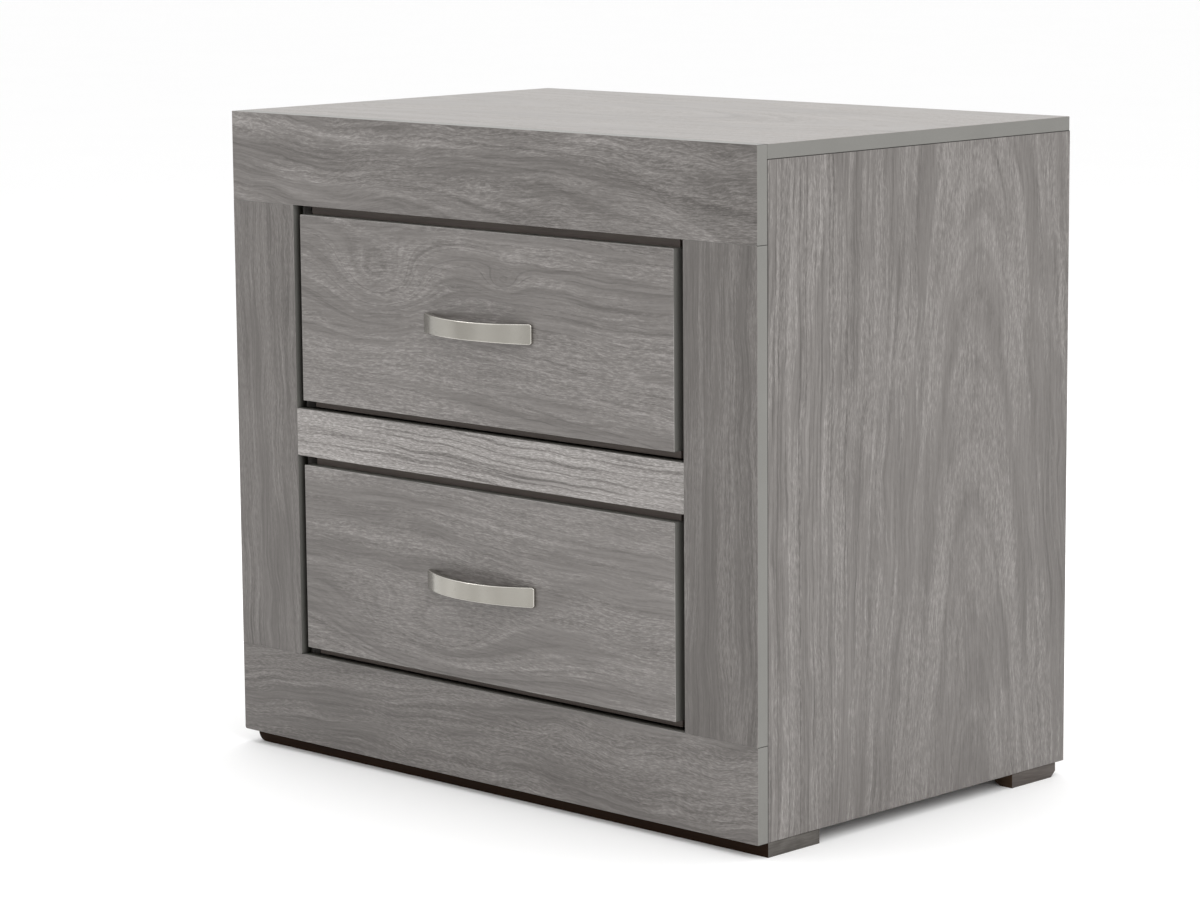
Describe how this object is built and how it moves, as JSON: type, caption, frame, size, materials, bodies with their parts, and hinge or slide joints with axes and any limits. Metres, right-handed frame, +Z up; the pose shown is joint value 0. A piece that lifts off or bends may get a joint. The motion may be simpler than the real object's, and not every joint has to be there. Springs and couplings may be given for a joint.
{
  "type": "two-drawer nightstand",
  "caption": "Low nightstand in grey wood-grain board: a framed front with inset drawers on ball slides, bow handles, a low foot strip in front and short feet behind.",
  "frame": {"origin": "on the floor, at the middle of the footprint, handles included", "axes": "the drawers open towards -Y, +X is the right side seen from the front, +Z is up"},
  "size_m": [0.625, 0.4198, 0.572],
  "materials": {
    "grey_laminated_board": "satin wood-grain laminate",
    "drawer_box_board": "matte dark laminate",
    "hardboard": "matte, faced",
    "dark_foot_board": "satin, dark brown",
    "satin_nickel": "satin nickel plate",
    "zinc_plated_steel": "zinc plate",
    "zinc_casting": "as cast",
    "beech_dowel": "bare"
  },
  "bodies": {
    "case": {"top_panel": "grey_laminated_board", "left_side_panel": "grey_laminated_board", "right_side_panel": "grey_laminated_board", "left_inner_panel": "grey_laminated_board", "right_inner_panel": "grey_laminated_board", "bottom_panel": "grey_laminated_board", "back_panel": "hardboard", "front_top_rail": "grey_laminated_board", "front_bottom_rail": "grey_laminated_board", "front_middle_rail": "grey_laminated_board", "front_left_stile": "grey_laminated_board", "front_right_stile": "grey_laminated_board", "front_foot_strip": "dark_foot_board", "rear_left_foot": "dark_foot_board", "rear_right_foot": "dark_foot_board", "wood_dowels": "beech_dowel", "cam_bolts": "zinc_plated_steel", "cam_lock_discs": "zinc_casting", "back_panel_nails": "zinc_plated_steel", "foot_screws": "zinc_plated_steel", "slide_cabinet_screws": "zinc_plated_steel", "lower_left_slide_outer": "zinc_plated_steel", "lower_right_slide_outer": "zinc_plated_steel", "upper_left_slide_outer": "zinc_plated_steel", "upper_right_slide_outer": "zinc_plated_steel"},
    "lower_drawer": {"lower_drawer_front": "grey_laminated_board", "lower_drawer_box_front": "drawer_box_board", "lower_drawer_left_side": "drawer_box_board", "lower_drawer_right_side": "drawer_box_board", "lower_drawer_back": "drawer_box_board", "lower_drawer_bottom": "hardboard", "lower_handle": "satin_nickel", "lower_drawer_corner_screws": "zinc_plated_steel", "lower_drawer_front_screws": "zinc_plated_steel", "lower_slide_drawer_screws": "zinc_plated_steel", "lower_handle_screws": "zinc_plated_steel", "lower_left_slide_inner": "zinc_plated_steel", "lower_right_slide_inner": "zinc_plated_steel"},
    "lower_slide_middle_members": {"lower_left_slide_middle": "zinc_plated_steel", "lower_right_slide_middle": "zinc_plated_steel"},
    "lower_outer_cages": {"lower_outer_ball_cages": "zinc_plated_steel"},
    "lower_inner_cages": {"lower_inner_ball_cages": "zinc_plated_steel"},
    "upper_drawer": {"upper_drawer_front": "grey_laminated_board", "upper_drawer_box_front": "drawer_box_board", "upper_drawer_left_side": "drawer_box_board", "upper_drawer_right_side": "drawer_box_board", "upper_drawer_back": "drawer_box_board", "upper_drawer_bottom": "hardboard", "upper_handle": "satin_nickel", "upper_drawer_corner_screws": "zinc_plated_steel", "upper_drawer_front_screws": "zinc_plated_steel", "upper_slide_drawer_screws": "zinc_plated_steel", "upper_handle_screws": "zinc_plated_steel", "upper_left_slide_inner": "zinc_plated_steel", "upper_right_slide_inner": "zinc_plated_steel"},
    "upper_slide_middle_members": {"upper_left_slide_middle": "zinc_plated_steel", "upper_right_slide_middle": "zinc_plated_steel"},
    "upper_outer_cages": {"upper_outer_ball_cages": "zinc_plated_steel"},
    "upper_inner_cages": {"upper_inner_ball_cages": "zinc_plated_steel"}
  },
  "joints": [
    {"name": "lower_drawer_slide", "type": "slide", "parent": "case", "child": "lower_drawer", "axis": [0, -1, 0], "range_m": [0, 0.335]},
    {"name": "lower_slide_middle_travel", "type": "slide", "parent": "case", "child": "lower_slide_middle_members", "axis": [0, -1, 0], "range_m": [0, 0.1675]},
    {"name": "lower_outer_cage_travel", "type": "slide", "parent": "case", "child": "lower_outer_cages", "axis": [0, -1, 0], "range_m": [0, 0.08375]},
    {"name": "lower_inner_cage_travel", "type": "slide", "parent": "case", "child": "lower_inner_cages", "axis": [0, -1, 0], "range_m": [0, 0.25125]},
    {"name": "upper_drawer_slide", "type": "slide", "parent": "case", "child": "upper_drawer", "axis": [0, -1, 0], "range_m": [0, 0.335]},
    {"name": "upper_slide_middle_travel", "type": "slide", "parent": "case", "child": "upper_slide_middle_members", "axis": [0, -1, 0], "range_m": [0, 0.1675]},
    {"name": "upper_outer_cage_travel", "type": "slide", "parent": "case", "child": "upper_outer_cages", "axis": [0, -1, 0], "range_m": [0, 0.08375]},
    {"name": "upper_inner_cage_travel", "type": "slide", "parent": "case", "child": "upper_inner_cages", "axis": [0, -1, 0], "range_m": [0, 0.25125]}
  ],
  "couplings": [
    {"joint": "lower_slide_middle_travel", "follows": "lower_drawer_slide", "ratio": 0.5},
    {"joint": "lower_outer_cage_travel", "follows": "lower_drawer_slide", "ratio": 0.25},
    {"joint": "lower_inner_cage_travel", "follows": "lower_drawer_slide", "ratio": 0.75},
    {"joint": "upper_slide_middle_travel", "follows": "upper_drawer_slide", "ratio": 0.5},
    {"joint": "upper_outer_cage_travel", "follows": "upper_drawer_slide", "ratio": 0.25},
    {"joint": "upper_inner_cage_travel", "follows": "upper_drawer_slide", "ratio": 0.75}
  ]
}
